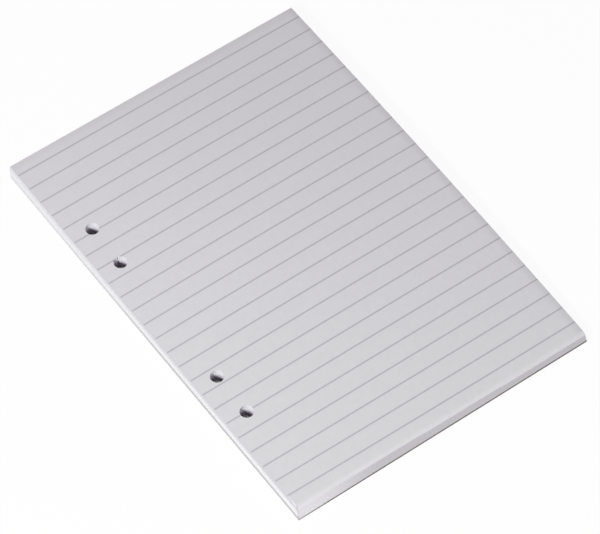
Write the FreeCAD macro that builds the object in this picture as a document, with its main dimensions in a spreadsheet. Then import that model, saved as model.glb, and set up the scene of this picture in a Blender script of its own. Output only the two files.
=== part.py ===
import FreeCAD, Part
import os
import Sketcher

# A5 writing pad: ruled leaves punched for a ring binder, glued along the
# punched edge and backed with a sheet of greyboard.
# X runs along the rulings from the glued spine to the fore edge, Y towards
# the head of the page, Z up. The origin is the middle of the underside.

V = FreeCAD.Vector
TOUCHING = 1e-6

SIZES = [
    ("page_width", 148.0, "A5 sheet, spine to fore edge, glue included"),
    ("page_length", 210.0, "A5 sheet, head to foot"),
    ("board_thickness", 1.0, "greyboard backing sheet"),
    ("glue_coat", 0.25, "padding glue brushed on the spine edge"),
    ("leaf_thickness", 0.1, "one leaf of writing paper"),
    ("spine_head", 7.9, "height of the pad at the spine, head"),
    ("spine_waist", 7.6, "height at the spine, half way down"),
    ("spine_foot", 7.8, "height at the spine, foot"),
    ("middle_head", 7.5, "height on the centre line, head"),
    ("middle_waist", 8.1, "height at the centre of the page"),
    ("middle_foot", 5.5, "height on the centre line, foot"),
    ("fore_head", 7.0, "height at the fore edge, head"),
    ("fore_waist", 7.6, "height at the fore edge, half way down"),
    ("fore_foot", 4.6, "height at the fore edge, foot"),
    ("foot_lean", 1.5, "top leaf set back from the foot of the board"),
    ("foot_round", 1.6, "soft rim of the leaves at the foot"),
    ("spine_round", 0.9, "soft rim of the glued edge and of its foot corner"),
    ("hole_diameter", 6.0, "punched hole"),
    ("hole_margin", 10.5, "spine edge to the line of holes"),
    ("hole_pair", 21.0, "between the two holes of a pair"),
    ("hole_span", 70.0, "between the inner holes of the two pairs"),
    ("hole_offset", 1.8, "middle of the four holes above mid page"),
    ("rule_margin", 6.15, "head of the page to the first ruling"),
    ("rule_pitch", 8.5, "from ruling to ruling"),
    ("rule_count", 24, "rulings on a page"),
    ("rule_width", 0.45, "printed width of a ruling"),
    ("rule_clear", 0.2, "a ruling in the way of a hole stops this short of it"),
    ("spare", 5.0, "how far cutting shapes run past the pad"),
]

doc = FreeCAD.newDocument("writing_pad")


def make_sheet():
    sheet = doc.addObject("Spreadsheet::Sheet", "sizes")
    for row, (name, value, note) in enumerate(SIZES, start=1):
        sheet.set(f"A{row}", name)
        sheet.set(f"B{row}", str(value))
        sheet.set(f"C{row}", note)
        sheet.setAlias(f"B{row}", name)
    doc.recompute()
    return sheet


sizes = make_sheet()


def bind(obj, **expressions):
    for prop, expression in expressions.items():
        obj.setExpression(prop.replace("__", "."), expression)


def box(name, corner, span):
    """A box whose low corner and spans along X, Y and Z are expressions."""
    block = doc.addObject("Part::Box", name)
    bind(block, Length=span[0], Width=span[1], Height=span[2])
    for axis, place in zip("xyz", corner):
        block.setExpression(f"Placement.Base.{axis}", place)
    return block


def boolean(kind, name, base, tool):
    result = doc.addObject(f"Part::{kind}", name)
    result.Base = base
    result.Tool = tool
    return result


def bridge(low, middle, high):
    """Control value of a parabola through three evenly spaced values."""
    return 2 * middle - (low + high) / 2


def warped_stack():
    """Everything under the gently warped top leaf, down to the table."""
    heights = [
        [sizes.spine_foot, sizes.spine_waist, sizes.spine_head],
        [sizes.middle_foot, sizes.middle_waist, sizes.middle_head],
        [sizes.fore_foot, sizes.fore_waist, sizes.fore_head],
    ]
    columns = [[foot, bridge(foot, waist, head), head] for foot, waist, head in heights]
    crown = [bridge(*across) for across in zip(*columns)]
    poles = [columns[0], crown, columns[2]]
    top = Part.BezierSurface()
    top.increase(2, 2)
    for i, column in enumerate(poles):
        for j, height in enumerate(column):
            x = (i - 1) * sizes.page_width / 2
            y = (j - 1) * sizes.page_length / 2
            top.setPole(i + 1, j + 1, V(x, y, height))
    depth = 2 * max(max(column) for column in heights)
    under_leaf = top.toShape().extrude(V(0, 0, -depth))
    slab_width = sizes.page_width + 2 * sizes.spare
    slab_length = sizes.page_length + 2 * sizes.spare
    low_corner = V(-slab_width / 2, -slab_length / 2, 0)
    above_table = Part.makeBox(slab_width, slab_length, depth, low_corner)
    stack = doc.addObject("Part::Feature", "warped_stack")
    stack.Shape = under_leaf.common(above_table)
    return stack


def origin_plane(body, role):
    return next(f for f in body.Origin.OriginFeatures if f.Role == role)


def rim_edges(shape, on_rim):
    """Names of the top edges whose two ends both satisfy on_rim."""
    names = []
    for number, edge in enumerate(shape.Edges, start=1):
        ends = [v.Point for v in edge.Vertexes]
        above_board = all(p.z > sizes.board_thickness + sizes.spine_round for p in ends)
        if len(ends) == 2 and above_board and all(on_rim(p) for p in ends):
            names.append(f"Edge{number}")
    return names


def soft_rim(body, name, base, on_rim, radius):
    fillet = body.newObject("PartDesign::Fillet", name)
    fillet.Base = (base, rim_edges(base.Shape, on_rim))
    fillet.setExpression("Radius", radius)
    doc.recompute()
    return fillet


def bound_stack():
    """The whole pad in outline: leaning foot and two soft rims."""
    body = doc.addObject("PartDesign::Body", "bound_stack")
    body.BaseFeature = warped_stack()
    doc.recompute()
    upright = body.Tip.Shape.Volume

    # In this sketch X is the length of the page and Y is the height. Its first
    # line is the slope, which starts at the board and goes on past the top leaf.
    side = body.newObject("Sketcher::SketchObject", "foot_side")
    side.AttachmentSupport = (origin_plane(body, "YZ_Plane"), [""])
    side.MapMode = "FlatFace"
    foot = -sizes.page_length / 2
    over_top = 2 * sizes.spine_foot - sizes.board_thickness
    corners = [
        V(foot, sizes.board_thickness, 0),
        V(foot + 2 * sizes.foot_lean, over_top, 0),
        V(foot - sizes.spare, over_top, 0),
        V(foot - sizes.spare, sizes.board_thickness, 0),
    ]
    for here, there in zip(corners, corners[1:] + corners[:1]):
        side.addGeometry(Part.LineSegment(here, there), False)
    for k in range(4):
        side.addConstraint(Sketcher.Constraint("Coincident", k, 2, (k + 1) % 4, 1))
    side.addConstraint(Sketcher.Constraint("Horizontal", 1))
    side.addConstraint(Sketcher.Constraint("Vertical", 2))
    side.addConstraint(Sketcher.Constraint("Horizontal", 3))
    driven = [
        ("DistanceX", 0, "-sizes.page_length / 2"),
        ("DistanceY", 0, "sizes.board_thickness"),
        ("DistanceX", 1, "2 * sizes.foot_lean - sizes.page_length / 2"),
        ("DistanceY", 1, "2 * sizes.spine_foot - sizes.board_thickness"),
        ("DistanceX", 2, "-sizes.page_length / 2 - sizes.spare"),
    ]
    for kind, corner, expression in driven:
        place = corners[corner].x if kind == "DistanceX" else corners[corner].y
        datum = side.addConstraint(Sketcher.Constraint(kind, -1, 1, corner, 1, place))
        side.setExpression(f"Constraints[{datum}]", expression)
    doc.recompute()

    lean = body.newObject("PartDesign::Pocket", "foot_slope")
    lean.Profile = side
    lean.Midplane = True
    lean.setExpression("Length", "sizes.page_width + 2 * sizes.spare")
    doc.recompute()
    if lean.Shape.Volume >= upright:
        raise RuntimeError("the sloping foot removed nothing")

    spine = -sizes.page_width / 2
    past_slope = foot + 2 * sizes.foot_lean
    at_foot = soft_rim(body, "foot_rim", lean, lambda p: p.y < past_slope, "sizes.foot_round")
    soft_rim(body, "spine_rim", at_foot, lambda p: p.x - spine < TOUCHING, "sizes.spine_round")
    return body


def hole_places():
    """Distances of the holes, two pairs, from the middle of their row."""
    inner = "sizes.hole_span / 2"
    outer = "(sizes.hole_span / 2 + sizes.hole_pair)"
    return [outer, inner, f"-{inner}", f"-{outer}"]


def punches():
    """Four punch pins in two pairs, in line beside the spine."""
    pins = []
    for number, reach in enumerate(hole_places(), start=1):
        pin = doc.addObject("Part::Cylinder", f"punch_{number}")
        bind(
            pin,
            Radius="sizes.hole_diameter / 2",
            Height="2 * (sizes.middle_waist + sizes.spare)",
            Placement__Base__x="sizes.hole_margin - sizes.page_width / 2",
            Placement__Base__y=f"sizes.hole_offset + {reach}",
            Placement__Base__z="-sizes.spare",
        )
        pins.append(pin)
    row = doc.addObject("Part::Compound", "punch_row")
    row.Links = pins
    return row


def hole_blocks():
    """Square blocks round the four holes, where no ruling is inlaid."""
    half = "(sizes.hole_diameter / 2 + sizes.rule_clear)"
    side = "sizes.hole_diameter + 2 * sizes.rule_clear"
    blocks = []
    for number, reach in enumerate(hole_places(), start=1):
        corner = [
            f"sizes.hole_margin - sizes.page_width / 2 - {half}",
            f"sizes.hole_offset + {reach} - {half}",
            "-sizes.spare",
        ]
        span = [side, side, "2 * (sizes.middle_waist + sizes.spare)"]
        blocks.append(box(f"hole_block_{number}", corner, span))
    row = doc.addObject("Part::Compound", "hole_block_row")
    row.Links = blocks
    return row


def ruling_slabs():
    """Upright slabs that stand where the rulings are printed."""
    slabs = []
    for number in range(int(sizes.rule_count)):
        line = f"sizes.page_length / 2 - sizes.rule_margin - {number} * sizes.rule_pitch"
        corner = ["-sizes.page_width / 2 - sizes.spare", f"{line} - sizes.rule_width / 2", "0"]
        span = ["sizes.page_width + 2 * sizes.spare", "sizes.rule_width", "2 * sizes.middle_waist"]
        slabs.append(box(f"slab_{number + 1}", corner, span))
    comb = doc.addObject("Part::Compound", "slab_comb")
    comb.Links = slabs
    return comb


def build():
    stack = bound_stack()
    punch_row = punches()

    half_width = "sizes.page_width / 2"
    half_length = "sizes.page_length / 2"
    inside_glue = f"sizes.glue_coat - {half_width}"

    blank = box(
        "board_blank",
        [inside_glue, f"-{half_length}", "0"],
        ["sizes.page_width - sizes.glue_coat", "sizes.page_length", "sizes.board_thickness"],
    )
    backing_board = boolean("Cut", "backing_board", blank, punch_row)

    leaf_zone = box(
        "leaf_zone",
        [inside_glue, f"-{half_length} - sizes.spare", "sizes.board_thickness"],
        ["sizes.page_width", "sizes.page_length + 2 * sizes.spare", "2 * sizes.middle_waist"],
    )
    leaves = boolean("Common", "leaves", stack, leaf_zone)
    punched_leaves = boolean("Cut", "punched_leaves", leaves, punch_row)

    # The ink of a ruling is as deep as the top leaf and flush with it.
    under_top_leaf = doc.addObject("Part::Compound", "under_top_leaf")
    under_top_leaf.Links = [stack.BaseFeature]
    under_top_leaf.setExpression("Placement.Base.z", "-sizes.leaf_thickness")
    page_ink = boolean("Cut", "page_ink", ruling_slabs(), under_top_leaf)
    ink_zone = boolean("Cut", "ink_zone", page_ink, hole_blocks())
    ruled_lines = boolean("Common", "ruled_lines", punched_leaves, ink_zone)
    leaf_block = boolean("Cut", "leaf_block", punched_leaves, ink_zone)

    glue_zone = box(
        "glue_zone",
        [f"-{half_width} - sizes.spare", f"-{half_length} - sizes.spare", "-sizes.spare"],
        [
            "sizes.spare + sizes.glue_coat",
            "sizes.page_length + 2 * sizes.spare",
            "2 * (sizes.middle_waist + sizes.spare)",
        ],
    )
    spine_glue = boolean("Common", "spine_glue", stack, glue_zone)
    return [leaf_block, ruled_lines, backing_board, spine_glue]


nodes = build()
doc.recompute()

for obj in doc.Objects:
    if "Invalid" in obj.State or "Error" in obj.State:
        raise RuntimeError(f"{obj.Name} failed: {obj.State}")

for node in nodes:
    if node.Shape.isNull() or not node.Shape.isValid():
        raise RuntimeError(f"{node.Label} has no valid shape")

os.makedirs("parts", exist_ok=True)
for node in nodes:
    node.Shape.exportStep(f"parts/{node.Label}.step")
    extent = node.Shape.BoundBox
    print(f"{node.Label}: {len(node.Shape.Solids)} solids, {node.Shape.Volume:.1f} mm3,", extent)
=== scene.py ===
import math

import bmesh
import bpy
from mathutils import Matrix, Vector, noise


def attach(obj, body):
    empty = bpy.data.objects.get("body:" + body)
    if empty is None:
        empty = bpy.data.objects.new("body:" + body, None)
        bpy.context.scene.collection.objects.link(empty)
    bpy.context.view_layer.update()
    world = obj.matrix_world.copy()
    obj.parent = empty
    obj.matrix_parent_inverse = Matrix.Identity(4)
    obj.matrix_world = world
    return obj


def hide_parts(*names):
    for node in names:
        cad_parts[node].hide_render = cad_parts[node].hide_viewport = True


# A5 writing pad: ruled leaves punched beside a glued spine, on a greyboard back.
# Lengths are in millimetres until a mesh is finished, then in metres, and the
# lamp's are in metres.

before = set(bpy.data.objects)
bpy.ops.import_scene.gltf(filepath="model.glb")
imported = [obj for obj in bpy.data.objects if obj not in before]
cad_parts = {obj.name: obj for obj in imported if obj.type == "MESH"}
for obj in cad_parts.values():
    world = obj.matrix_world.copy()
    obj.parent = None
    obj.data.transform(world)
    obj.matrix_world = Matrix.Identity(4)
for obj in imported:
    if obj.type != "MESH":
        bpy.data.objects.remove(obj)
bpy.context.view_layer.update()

MM = 0.001
WIDTH = 148.0
LENGTH = 210.0
BOARD = 1.0
GLUE = 0.25
SPINE = -WIDTH / 2
FOOT = -LENGTH / 2

# Height of the pad at the foot, half way down and at the head.
AT_SPINE = (7.8, 7.6, 7.9)
AT_MIDDLE = (5.5, 8.1, 7.5)
AT_FORE_EDGE = (4.6, 7.6, 7.0)

# The leaves lean back at the foot, less and less up to 20 mm from it. The rims
# are soft by these radii, and the cut leaves stray by up to twice EDGE_STRAY.
SET_BACK = 1.5
LEAN_REACH = 20.0
FOOT_RIM = 1.6
SPINE_RIM = 0.8
PAPER_RIM = 0.3
EDGE_STRAY = 0.07
SHARP_ANGLE = 40

HOLE_RADIUS = 3.0
HOLE_LINE = SPINE + 10.5
HOLE_PLACES = (57.8, 36.8, -33.2, -54.2)
# Two nicks in the rim of the second hole, placed from its middle.
NICKS = ((0.75, 2.95), (-1.6, 2.5))
NICK_RADIUS = 0.42
PUNCH_LENGTH = 30.0

FIRST_RULING = LENGTH / 2 - 6.15
RULE_PITCH = 8.5
RULE_COUNT = 24
RULE_WIDTH = 0.45

# The camera stands where the photograph was taken from, with a long lens.
CAMERA_PLACE = (-581.64, -798.06, 1443.08)
CAMERA_FORWARD = (0.33266, 0.45428, -0.82642)
CAMERA_UP = (0.48323, 0.67043, 0.56305)
CAMERA_LENS = 248.76

# The lamp stands to the left of the pad, in metres, and the sky fills in.
LAMP_TOWARDS = (-0.70, -0.33, 0.635)
LAMP_DISTANCE = 1.36
LAMP_SIZE = 0.22
LAMP_WATTS = 16.0
SKY_STRENGTH = 0.3
FLOOR_GLOW = 0.94

# The floor lies a hair below the board, so that the two faces don't meet.
FLOOR_HALF = 6000.0
FLOOR_DROP = 0.05


def through(low, middle, high, t):
    """Parabola through three even stations, with t from -1 to 1."""
    return middle + (high - low) / 2 * t + ((low + high) / 2 - middle) * t * t


def pad_height(x, y):
    """Height of the top leaf above the table."""
    across = 2 * x / WIDTH
    along = 2 * y / LENGTH
    stations = [through(*heights, along) for heights in (AT_SPINE, AT_MIDDLE, AT_FORE_EDGE)]
    return through(*stations, across)


# Colours and nodes.


def colour(code):
    """Linear colour of an sRGB hex code."""
    channels = [int(code[i : i + 2], 16) / 255 for i in (0, 2, 4)]
    return [c / 12.92 if c <= 0.04045 else ((c + 0.055) / 1.055) ** 2.4 for c in channels] + [1.0]


def add(tree, kind, settings=None, links=None):
    """Adds a node, sets its properties and sockets, and links sockets to it.
    Sockets go by name or number: 1 to 4 of a Map Range node are the two ends
    that it reads and the two that it gives, and 0, 6 and 7 of a Mix node are
    the share and its two colours."""
    made = tree.nodes.new(kind)
    for name, value in (settings or {}).items():
        if isinstance(name, str) and name in made.bl_rna.properties:
            setattr(made, name, value)
        else:
            made.inputs[name].default_value = value
    for name, source in (links or {}).items():
        tree.links.new(source, made.inputs[name])
    return made


def material(name):
    """A new material with an empty node tree."""
    made = bpy.data.materials.new(name)
    made.use_nodes = True
    made.node_tree.nodes.clear()
    return made, made.node_tree


def finish_surface(tree, shader):
    """Ends a material with its shader."""
    add(tree, "ShaderNodeOutputMaterial", links={"Surface": shader.outputs[0]})


def ruling_ink(tree, axes, fibres):
    """How much ink lies on the page: the rulings, counted from the first one
    at the head, with a soft edge."""
    count = add(
        tree,
        "ShaderNodeMath",
        {"operation": "MULTIPLY_ADD", 1: -1 / (RULE_PITCH * MM), 2: FIRST_RULING / RULE_PITCH},
        {0: axes.outputs["Y"]},
    )
    nearest = add(tree, "ShaderNodeMath", {"operation": "ROUND"}, {0: count.outputs[0]})
    off = add(
        tree,
        "ShaderNodeMath",
        {"operation": "SUBTRACT"},
        {0: count.outputs[0], 1: nearest.outputs[0]},
    )
    apart = add(tree, "ShaderNodeMath", {"operation": "ABSOLUTE"}, {0: off.outputs[0]})
    half = RULE_WIDTH / 2 / RULE_PITCH
    line = add(
        tree,
        "ShaderNodeMapRange",
        {"interpolation_type": "SMOOTHSTEP", 1: half * 2.7, 2: half * 0.3, 3: 0.0, 4: 1.0},
        {0: apart.outputs[0]},
    )
    on_page = add(
        tree,
        "ShaderNodeMath",
        {"operation": "LESS_THAN", 1: RULE_COUNT - 0.5},
        {0: count.outputs[0]},
    )
    off_glue = add(
        tree,
        "ShaderNodeMath",
        {"operation": "GREATER_THAN", 1: (SPINE + 0.3) * MM},
        {0: axes.outputs["X"]},
    )
    kept = add(
        tree,
        "ShaderNodeMath",
        {"operation": "MULTIPLY"},
        {0: line.outputs[0], 1: on_page.outputs[0]},
    )
    inked = add(
        tree,
        "ShaderNodeMath",
        {"operation": "MULTIPLY"},
        {0: kept.outputs[0], 1: off_glue.outputs[0]},
    )
    # The paper's tooth breaks the ink up a little.
    tooth = add(
        tree, "ShaderNodeMapRange", {1: 0.3, 2: 0.75, 3: 1.0, 4: 0.6}, {0: fibres.outputs["Fac"]}
    )
    return add(
        tree,
        "ShaderNodeMath",
        {"operation": "MULTIPLY"},
        {0: inked.outputs[0], 1: tooth.outputs[0]},
    )


def writing_paper():
    """Uncoated wood-free writing paper, machine-made and calendered, printed
    with pale grey rulings: an even matt white with a faint cloudy formation."""
    made, tree = material("writing_paper_ruled")
    place = add(tree, "ShaderNodeTexCoord").outputs["Object"]
    axes = add(tree, "ShaderNodeSeparateXYZ", links={0: place})

    # Formation: fibre flocs about 3 mm across, and a fibre grain of 0.5 mm.
    flocs = add(
        tree,
        "ShaderNodeTexNoise",
        {"Scale": 1 / (3 * MM), "Detail": 3.0, "Roughness": 0.6},
        {"Vector": place},
    )
    fibres = add(
        tree,
        "ShaderNodeTexNoise",
        {"Scale": 1 / (0.5 * MM), "Detail": 2.0, "Roughness": 0.5},
        {"Vector": place},
    )
    paper = add(
        tree,
        "ShaderNodeMix",
        {"data_type": "RGBA", 6: colour("DAD9DC"), 7: colour("E3E3E5")},
        {0: flocs.outputs["Fac"]},
    )
    # The sheet's colour turns a little violet from the glued foot to the far head corner, by
    # position alone.
    reach = add(
        tree,
        "ShaderNodeMath",
        {"operation": "MULTIPLY_ADD", 1: 0.7},
        {0: axes.outputs["X"], 2: axes.outputs["Y"]},
    )
    violet_share = add(
        tree, "ShaderNodeMapRange", {1: -0.12, 2: 0.15, 3: 0.0, 4: 0.5}, {0: reach.outputs[0]}
    )
    shade = add(
        tree,
        "ShaderNodeMix",
        {"data_type": "RGBA", 7: colour("DFD8E3")},
        {0: violet_share.outputs[0], 6: paper.outputs[2]},
    )

    # Painted shade darkens the last millimetre beside the spine, where the soft rim turns to the
    # lamp, and fades out near the foot.
    at_spine = add(
        tree,
        "ShaderNodeMapRange",
        {1: (SPINE + 1.1) * MM, 2: (SPINE + 0.4) * MM, 3: 0.0, 4: 1.0},
        {0: axes.outputs["X"]},
    )
    above_foot = add(
        tree,
        "ShaderNodeMapRange",
        {1: (FOOT + 3) * MM, 2: (FOOT + 9) * MM, 3: 0.0, 4: 1.0},
        {0: axes.outputs["Y"]},
    )
    painted_rim_shade = add(
        tree,
        "ShaderNodeMath",
        {"operation": "MULTIPLY"},
        {0: at_spine.outputs[0], 1: above_foot.outputs[0]},
    )
    paper_with_rim_shade = add(
        tree,
        "ShaderNodeMix",
        {"data_type": "RGBA", 7: colour("C6C5CA")},
        {0: painted_rim_shade.outputs[0], 6: shade.outputs[2]},
    )

    ink_amount = ruling_ink(tree, axes, fibres)
    page = add(
        tree,
        "ShaderNodeMix",
        {"data_type": "RGBA", 7: colour("B4B2B9")},
        {0: ink_amount.outputs[0], 6: paper_with_rim_shade.outputs[2]},
    )
    bump = add(
        tree,
        "ShaderNodeBump",
        {"Strength": 0.12, "Distance": 0.02 * MM},
        {"Height": fibres.outputs["Fac"]},
    )
    shader = add(
        tree,
        "ShaderNodeBsdfPrincipled",
        {"Roughness": 0.7, "IOR": 1.5},
        {"Base Color": page.outputs[2], "Normal": bump.outputs[0]},
    )
    finish_surface(tree, shader)
    return made


def leaf_edges(name, dark, pale, spine_end_painted_light, depth_shade_share):
    """Edges of the paper leaves, cut or punched together: fine lines along
    the leaves. Painted light makes them paler towards the spine, the end
    nearer the lamp. Painted shade darkens their lower part by the share
    given, standing in for the shadow deep in the punched holes."""
    made, tree = material(name)
    place = add(tree, "ShaderNodeTexCoord").outputs["Object"]
    axes = add(tree, "ShaderNodeSeparateXYZ", links={0: place})
    level = add(tree, "ShaderNodeAttribute", {"attribute_name": "leaf_level"})

    # Leaves are 0.1 mm thick, too fine to show, so they are drawn in threes.
    run = add(
        tree, "ShaderNodeMath", {"operation": "ADD"}, {0: axes.outputs["X"], 1: axes.outputs["Y"]}
    )
    along = add(
        tree, "ShaderNodeMath", {"operation": "MULTIPLY", 1: 1 / (25 * MM)}, {0: run.outputs[0]}
    )
    upward = add(
        tree, "ShaderNodeMath", {"operation": "MULTIPLY", 1: 15.0}, {0: level.outputs["Fac"]}
    )
    spread = add(
        tree, "ShaderNodeCombineXYZ", links={"X": along.outputs[0], "Z": upward.outputs[0]}
    )
    sheets = add(
        tree,
        "ShaderNodeTexNoise",
        {"Scale": 1.0, "Detail": 3.0, "Roughness": 0.7},
        {"Vector": spread.outputs[0]},
    )
    lines = add(
        tree,
        "ShaderNodeMix",
        {"data_type": "RGBA", 6: colour(dark), 7: colour(pale)},
        {0: sheets.outputs["Fac"]},
    )
    # Painted light: the edges turn paler towards the spine, the end nearer the lamp.
    painted_light_share = add(
        tree,
        "ShaderNodeMapRange",
        {"interpolation_type": "SMOOTHSTEP", 1: -28 * MM, 2: -72 * MM, 3: 0.0, 4: 1.0},
        {0: axes.outputs["X"]},
    )
    edges_with_painted_light = add(
        tree,
        "ShaderNodeMix",
        {"data_type": "RGBA", 7: colour(spine_end_painted_light)},
        {0: painted_light_share.outputs[0], 6: lines.outputs[2]},
    )
    # Painted shade: the lower leaves darken, by the share given, for the shadow deep in the holes.
    painted_depth_shade = add(
        tree,
        "ShaderNodeMapRange",
        {1: 5.0 * MM, 2: 2.6 * MM, 3: 0.0, 4: depth_shade_share},
        {0: axes.outputs["Z"]},
    )
    tone = add(
        tree,
        "ShaderNodeMix",
        {"data_type": "RGBA", 7: colour("A49AAA")},
        {0: painted_depth_shade.outputs[0], 6: edges_with_painted_light.outputs[2]},
    )
    bump = add(
        tree,
        "ShaderNodeBump",
        {"Strength": 0.5, "Distance": 0.1 * MM},
        {"Height": sheets.outputs["Fac"]},
    )
    shader = add(
        tree,
        "ShaderNodeBsdfPrincipled",
        {"Roughness": 0.85, "IOR": 1.5},
        {"Base Color": tone.outputs[2], "Normal": bump.outputs[0]},
    )
    finish_surface(tree, shader)
    return made


def board_and_base_shade(tree, axes):
    """How far the greyboard shows through the glue along the foot of the spine,
    with painted shade over it up to 3.3 mm, and less towards the head."""
    over_board = add(
        tree,
        "ShaderNodeMapRange",
        {"interpolation_type": "SMOOTHSTEP", 1: 3.3 * MM, 2: 1.3 * MM, 3: 0.0, 4: 1.0},
        {0: axes.outputs["Z"]},
    )
    fading_to_head = add(
        tree,
        "ShaderNodeMapRange",
        {"interpolation_type": "SMOOTHSTEP", 1: -40 * MM, 2: 100 * MM, 3: 1.0, 4: 0.3},
        {0: axes.outputs["Y"]},
    )
    # The drop of glue along the lower arris of the board is thicker again.
    above_arris = add(
        tree, "ShaderNodeMapRange", {1: 0.0, 2: 1.0 * MM, 3: 0.4, 4: 1.0}, {0: axes.outputs["Z"]}
    )
    thinned = add(
        tree,
        "ShaderNodeMath",
        {"operation": "MULTIPLY"},
        {0: over_board.outputs[0], 1: fading_to_head.outputs[0]},
    )
    return add(
        tree,
        "ShaderNodeMath",
        {"operation": "MULTIPLY"},
        {0: thinned.outputs[0], 1: above_arris.outputs[0]},
    )


def padding_glue():
    """White padding compound, brushed on and dried: a smooth satin film that
    lets the greyboard show through near the table."""
    made, tree = material("padding_glue_brushed")
    place = add(tree, "ShaderNodeTexCoord").outputs["Object"]
    axes = add(tree, "ShaderNodeSeparateXYZ", links={0: place})
    # Brush streaks run along the spine, 0.6 mm apart and some 20 mm long.
    stretched = add(
        tree,
        "ShaderNodeMapping",
        {"Scale": (1 / (0.6 * MM), 1 / (20 * MM), 1 / (0.6 * MM))},
        {"Vector": place},
    )
    streaks = add(
        tree,
        "ShaderNodeTexNoise",
        {"Scale": 1.0, "Detail": 2.0, "Roughness": 0.5},
        {"Vector": stretched.outputs[0]},
    )
    film = add(
        tree,
        "ShaderNodeMix",
        {"data_type": "RGBA", 6: colour("D6D5D9"), 7: colour("DEDDE1")},
        {0: streaks.outputs["Fac"]},
    )
    # Painted shade darkens the film along its top, above all near the foot.
    near_top = add(
        tree,
        "ShaderNodeMapRange",
        {1: 4.8 * MM, 2: 7.6 * MM, 3: 0.0, 4: 1.0},
        {0: axes.outputs["Z"]},
    )
    near_foot = add(
        tree,
        "ShaderNodeMapRange",
        {1: 100 * MM, 2: -60 * MM, 3: 0.35, 4: 1.0},
        {0: axes.outputs["Y"]},
    )
    painted_top_shade = add(
        tree,
        "ShaderNodeMath",
        {"operation": "MULTIPLY"},
        {0: near_top.outputs[0], 1: near_foot.outputs[0]},
    )
    brushed = add(
        tree,
        "ShaderNodeMix",
        {"data_type": "RGBA", 7: colour("B6B5BB")},
        {0: painted_top_shade.outputs[0], 6: film.outputs[2]},
    )
    # Grey along the base of the spine: the greyboard under the glue, and painted shade above it.
    seen = board_and_base_shade(tree, axes)
    tone = add(
        tree,
        "ShaderNodeMix",
        {"data_type": "RGBA", 7: colour("A6A6A4")},
        {0: seen.outputs[0], 6: brushed.outputs[2]},
    )
    bump = add(
        tree,
        "ShaderNodeBump",
        {"Strength": 0.3, "Distance": 0.05 * MM},
        {"Height": streaks.outputs["Fac"]},
    )
    shader = add(
        tree,
        "ShaderNodeBsdfPrincipled",
        {"Roughness": 0.4, "IOR": 1.47},
        {"Base Color": tone.outputs[2], "Normal": bump.outputs[0]},
    )
    finish_surface(tree, shader)
    return made


def greyboard():
    """Greyboard, unlined and pressed from mixed waste paper: a warm grey felt
    of fibres with darker specks, and paler towards the spine, as painted light."""
    made, tree = material("greyboard_pressed")
    place = add(tree, "ShaderNodeTexCoord").outputs["Object"]
    felt = add(
        tree,
        "ShaderNodeTexNoise",
        {"Scale": 1 / (1.2 * MM), "Detail": 5.0, "Roughness": 0.7},
        {"Vector": place},
    )
    specks = add(
        tree, "ShaderNodeTexNoise", {"Scale": 1 / (0.7 * MM), "Detail": 1.0}, {"Vector": place}
    )
    speck = add(
        tree, "ShaderNodeMapRange", {1: 0.66, 2: 0.74, 3: 0.0, 4: 0.7}, {0: specks.outputs["Fac"]}
    )
    ground = add(
        tree,
        "ShaderNodeMix",
        {"data_type": "RGBA", 6: colour("68645A"), 7: colour("827E74")},
        {0: felt.outputs["Fac"]},
    )
    specked = add(
        tree,
        "ShaderNodeMix",
        {"data_type": "RGBA", 7: colour("47433B")},
        {0: speck.outputs[0], 6: ground.outputs[2]},
    )
    # Painted light pales the board towards the spine, the side the lamp lights.
    axes = add(tree, "ShaderNodeSeparateXYZ", links={0: place})
    painted_spine_light = add(
        tree,
        "ShaderNodeMapRange",
        {1: (SPINE + 16) * MM, 2: SPINE * MM, 3: 0.0, 4: 0.8},
        {0: axes.outputs["X"]},
    )
    tone = add(
        tree,
        "ShaderNodeMix",
        {"data_type": "RGBA", 7: colour("C2C1BE")},
        {0: painted_spine_light.outputs[0], 6: specked.outputs[2]},
    )
    bump = add(
        tree,
        "ShaderNodeBump",
        {"Strength": 0.4, "Distance": 0.08 * MM},
        {"Height": felt.outputs["Fac"]},
    )
    shader = add(
        tree,
        "ShaderNodeBsdfPrincipled",
        {"Roughness": 0.9, "IOR": 1.5},
        {"Base Color": tone.outputs[2], "Normal": bump.outputs[0]},
    )
    finish_surface(tree, shader)
    return made


# The leaves and the glue.


def cut_across(bm, place, direction):
    """Adds a row of vertices where a plane meets the slab."""
    everything = bm.verts[:] + bm.edges[:] + bm.faces[:]
    bmesh.ops.bisect_plane(bm, geom=everything, plane_co=place, plane_no=direction)


def rounded(inward, depth, radius):
    """Moves a point that is nearer than radius to both faces of a square
    corner on to the arc that softens the corner."""
    if inward >= radius or depth >= radius:
        return inward, depth
    arm = Vector((radius - inward, radius - depth)).normalized() * radius
    return radius - arm.x, radius - arm.y


def stray(level, place, side):
    """How far the leaf bundle at this level stands back from the cut."""
    return EDGE_STRAY * (1 + noise.noise(Vector((level * 31.0, place / 35.0, side * 9.0))))


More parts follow.
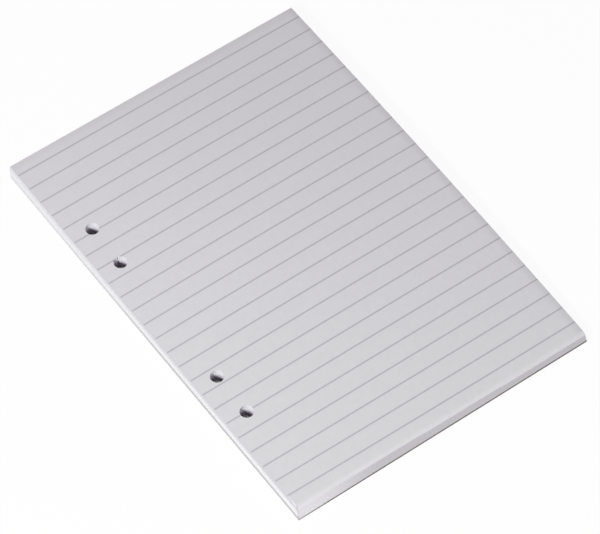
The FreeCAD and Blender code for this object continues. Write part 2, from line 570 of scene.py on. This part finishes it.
def bound_stack(bottom):
    """The stack of leaves with its glue film, as a slab that is bent, leant
    and softened; bottom is the height at which it starts."""
    bm = bmesh.new()
    bmesh.ops.create_grid(
        bm,
        x_segments=37,
        y_segments=52,
        size=0.5,
        matrix=Matrix.Diagonal((WIDTH, LENGTH, 1.0, 1.0)),
    )
    # Rows of vertices close together where the rims bend.
    for step in (0.12, 0.3, 0.5, 0.8, 1.3):
        cut_across(bm, (SPINE + step, 0, 0), (1, 0, 0))
    for step in (0.12, 0.3, 0.6, 1.0, 1.6, 2.6):
        cut_across(bm, (0, FOOT + step, 0), (0, 1, 0))
    for step in (0.12, 0.3):
        cut_across(bm, (-SPINE - step, 0, 0), (1, 0, 0))
        cut_across(bm, (0, -FOOT - step, 0), (0, 1, 0))
    # The slab is first 1 high, so that each row's level runs from 0 to 1.
    top = bmesh.ops.extrude_face_region(bm, geom=bm.faces[:])
    raised = [g for g in top["geom"] if isinstance(g, bmesh.types.BMVert)]
    bmesh.ops.translate(bm, verts=raised, vec=(0, 0, 1))
    bmesh.ops.recalc_face_normals(bm, faces=bm.faces[:])
    levels = [0.08 * k for k in range(1, 10)] + [0.79, 0.85, 0.9, 0.94, 0.97, 0.985]
    for level in levels:
        cut_across(bm, (0, 0, level), (0, 0, 1))

    for v in bm.verts:
        x, y, level = v.co
        tall = pad_height(x, y) - bottom
        depth = (1 - level) * tall
        from_foot, depth = rounded(y - FOOT, depth, FOOT_RIM)
        from_spine, depth = rounded(x - SPINE, depth, SPINE_RIM)
        from_fore, depth = rounded(-SPINE - x, depth, PAPER_RIM)
        from_head, depth = rounded(-FOOT - y, depth, PAPER_RIM)
        if from_foot < 0.001:
            from_foot = stray(level, x, 1)
        if from_head < 0.001:
            from_head = stray(level, x, 2)
        if from_fore < 0.001:
            from_fore = stray(level, y, 3)
        new_x = SPINE + from_spine if x < 0 else -SPINE - from_fore
        new_y = FOOT + from_foot if y < 0 else -FOOT - from_head
        z = pad_height(x, y) - depth
        risen = max(0.0, z - BOARD) / (pad_height(x, y) - BOARD)
        lean = SET_BACK * risen * max(0.0, 1 - from_foot / LEAN_REACH)
        v.co = (new_x, new_y + lean, z)
    return bm


def keep_side(bm, x, leaves):
    """Cuts the slab where leaves and glue meet and closes the side kept."""
    everything = bm.verts[:] + bm.edges[:] + bm.faces[:]
    cut = bmesh.ops.bisect_plane(
        bm,
        geom=everything,
        plane_co=(x, 0, 0),
        plane_no=(1, 0, 0),
        clear_inner=leaves,
        clear_outer=not leaves,
    )
    rim = [g for g in cut["geom_cut"] if isinstance(g, bmesh.types.BMEdge)]
    bmesh.ops.holes_fill(bm, edges=rim)


def to_object(bm, name, materials):
    """Makes a finished mesh an object, in metres."""
    bmesh.ops.scale(bm, vec=(MM, MM, MM), verts=bm.verts[:])
    mesh = bpy.data.meshes.new(name)
    bm.to_mesh(mesh)
    bm.free()
    made = bpy.data.objects.new(name, mesh)
    bpy.context.scene.collection.objects.link(made)
    for m in materials:
        mesh.materials.append(m)
    return made


def punch(piece, places, radius):
    """Takes round holes out of a finished piece."""
    bm = bmesh.new()
    for x, y in places:
        bmesh.ops.create_cone(
            bm,
            cap_ends=True,
            segments=64,
            radius1=radius,
            radius2=radius,
            depth=PUNCH_LENGTH,
            matrix=Matrix.Translation((x, y, 0)),
        )
    pins = to_object(bm, "punch_pins", [])
    cut = piece.modifiers.new("holes", "BOOLEAN")
    cut.operation = "DIFFERENCE"
    cut.solver = "EXACT"
    cut.object = pins
    graph = bpy.context.evaluated_depsgraph_get()
    punched = bpy.data.meshes.new_from_object(piece.evaluated_get(graph))
    piece.modifiers.clear()
    piece.data = punched
    bpy.data.objects.remove(pins)


def smooth(piece):
    """Shades a piece smooth, apart from its sharp edges."""
    piece.data.shade_smooth()
    piece.data.set_sharp_from_angle(angle=math.radians(SHARP_ANGLE))


def build_leaves(paper, edges, hole_walls):
    """The leaves, ruled on top and punched, with their edges and hole walls."""
    bm = bound_stack(BOARD)
    keep_side(bm, SPINE + GLUE, True)
    piece = to_object(bm, "leaf_stack", [paper, edges, hole_walls])
    punch(piece, [(HOLE_LINE, y) for y in HOLE_PLACES], HOLE_RADIUS)
    # The second hole is nicked on its far side.
    nicked = Vector((HOLE_LINE, HOLE_PLACES[1]))
    punch(piece, [nicked + Vector(place) for place in NICKS], NICK_RADIUS)
    mesh = piece.data
    level = mesh.attributes.new("leaf_level", "FLOAT", "POINT")
    for v, stored in zip(mesh.vertices, level.data):
        x, y, z = v.co / MM
        stored.value = (z - BOARD) / (pad_height(x, y) - BOARD)
    for face in mesh.polygons:
        middle = face.center / MM
        from_holes = min(math.hypot(middle.x - HOLE_LINE, middle.y - y) for y in HOLE_PLACES)
        # The top, its soft rims and the strip beside the glue are plain paper.
        if face.normal.z > 0.6 or middle.x < SPINE + 1:
            face.material_index = 0
        else:
            face.material_index = 2 if from_holes < 2 * HOLE_RADIUS else 1
    smooth(piece)
    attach(piece, "root")
    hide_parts("leaf_block", "ruled_lines")
    return piece


def build_glue(glue):
    """The film of glue over the spine edge of the leaves and the board."""
    bm = bound_stack(0.0)
    keep_side(bm, SPINE + GLUE, False)
    piece = to_object(bm, "glue_film", [glue])
    smooth(piece)
    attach(piece, "root")
    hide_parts("spine_glue")
    return piece


# Stage, lights and camera.


def clear_of_holes(tree):
    """1 on the floor, and 0 under the row of holes, which look down on a
    floor in shadow and not on its glow."""
    place = add(tree, "ShaderNodeTexCoord").outputs["Object"]
    axes = add(tree, "ShaderNodeSeparateXYZ", links={0: place})
    from_row = add(
        tree, "ShaderNodeMath", {"operation": "SUBTRACT", 1: HOLE_LINE * MM}, {0: axes.outputs["X"]}
    )
    across = add(tree, "ShaderNodeMath", {"operation": "ABSOLUTE"}, {0: from_row.outputs[0]})
    along = add(tree, "ShaderNodeMath", {"operation": "ABSOLUTE"}, {0: axes.outputs["Y"]})
    past_side = add(
        tree,
        "ShaderNodeMath",
        {"operation": "GREATER_THAN", 1: 1.5 * HOLE_RADIUS * MM},
        {0: across.outputs[0]},
    )
    past_end = add(
        tree,
        "ShaderNodeMath",
        {"operation": "GREATER_THAN", 1: (HOLE_PLACES[0] + 1.5 * HOLE_RADIUS) * MM},
        {0: along.outputs[0]},
    )
    return add(
        tree,
        "ShaderNodeMath",
        {"operation": "MAXIMUM"},
        {0: past_side.outputs[0], 1: past_end.outputs[0]},
    )


def build_floor():
    """A pale floor that the camera sees as white, apart from the shadow."""
    bm = bmesh.new()
    bmesh.ops.create_grid(bm, x_segments=1, y_segments=1, size=FLOOR_HALF)
    bmesh.ops.translate(bm, verts=bm.verts[:], vec=(0, 0, -FLOOR_DROP))
    made, tree = material("backdrop_white")
    path = add(tree, "ShaderNodeLightPath")
    seen = add(
        tree,
        "ShaderNodeMath",
        {"operation": "MAXIMUM"},
        {0: path.outputs["Is Camera Ray"], 1: path.outputs["Is Glossy Ray"]},
    )
    seen_through = add(
        tree,
        "ShaderNodeMath",
        {"operation": "MAXIMUM"},
        {0: seen.outputs[0], 1: path.outputs["Is Transmission Ray"]},
    )
    open_floor = clear_of_holes(tree)
    glowing = add(
        tree,
        "ShaderNodeMath",
        {"operation": "MULTIPLY"},
        {0: seen_through.outputs[0], 1: open_floor.outputs[0]},
    )
    share = add(
        tree, "ShaderNodeMath", {"operation": "MULTIPLY", 1: FLOOR_GLOW}, {0: glowing.outputs[0]}
    )
    matt = add(tree, "ShaderNodeBsdfDiffuse", {"Color": colour("F4F4F4")})
    bright = add(tree, "ShaderNodeEmission", {"Color": colour("FFFFFF"), "Strength": 1.0})
    both = add(
        tree,
        "ShaderNodeMixShader",
        links={0: share.outputs[0], 1: matt.outputs[0], 2: bright.outputs[0]},
    )
    finish_surface(tree, both)
    floor = to_object(bm, "floor", [made])


def light_up():
    """A plain white sky and one soft lamp."""
    world = bpy.data.worlds.new("studio")
    bpy.context.scene.world = world
    world.use_nodes = True
    tree = world.node_tree
    tree.nodes.clear()
    sky = add(tree, "ShaderNodeBackground", {"Color": colour("FFFFFF"), "Strength": SKY_STRENGTH})
    add(tree, "ShaderNodeOutputWorld", links={"Surface": sky.outputs[0]})

    key = bpy.data.lights.new("key", "AREA")
    key.shape = "DISK"
    key.size = LAMP_SIZE
    key.energy = LAMP_WATTS
    lamp = bpy.data.objects.new("key", key)
    bpy.context.scene.collection.objects.link(lamp)
    towards = Vector(LAMP_TOWARDS).normalized()
    lamp.location = towards * LAMP_DISTANCE
    lamp.rotation_euler = towards.to_track_quat("Z", "Y").to_euler()


def set_camera():
    """The photograph's own view."""
    lens = bpy.data.cameras.new("camera")
    lens.sensor_width = 36.0
    lens.lens = CAMERA_LENS
    lens.clip_end = 20.0
    camera = bpy.data.objects.new("camera", lens)
    bpy.context.scene.collection.objects.link(camera)
    forward = Vector(CAMERA_FORWARD)
    up = Vector(CAMERA_UP)
    right = forward.cross(up).normalized()
    up = right.cross(forward)
    turn = Matrix((right, up, -forward)).transposed().to_4x4()
    camera.matrix_world = Matrix.Translation(Vector(CAMERA_PLACE) * MM) @ turn
    bpy.context.scene.camera = camera


bpy.context.scene.view_settings.view_transform = "Standard"
set_camera()
build_leaves(
    writing_paper(),
    # The cut edges take painted light towards the spine and no painted shade low down.
    leaf_edges("writing_paper_cut_edges", "BFBBC1", "D6D3D9", "E8E5EA", 0.0),
    # The punched walls take a paler copy of the edge colours, painted light for the lit walls in
    # the holes, and full painted shade low down.
    leaf_edges("writing_paper_punched_edges", "DEDDE2", "F0EFF3", "EAE9EE", 1.0),
)
build_glue(padding_glue())
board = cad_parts["backing_board"]
board.data.materials.clear()
board.data.materials.append(greyboard())
build_floor()
light_up()
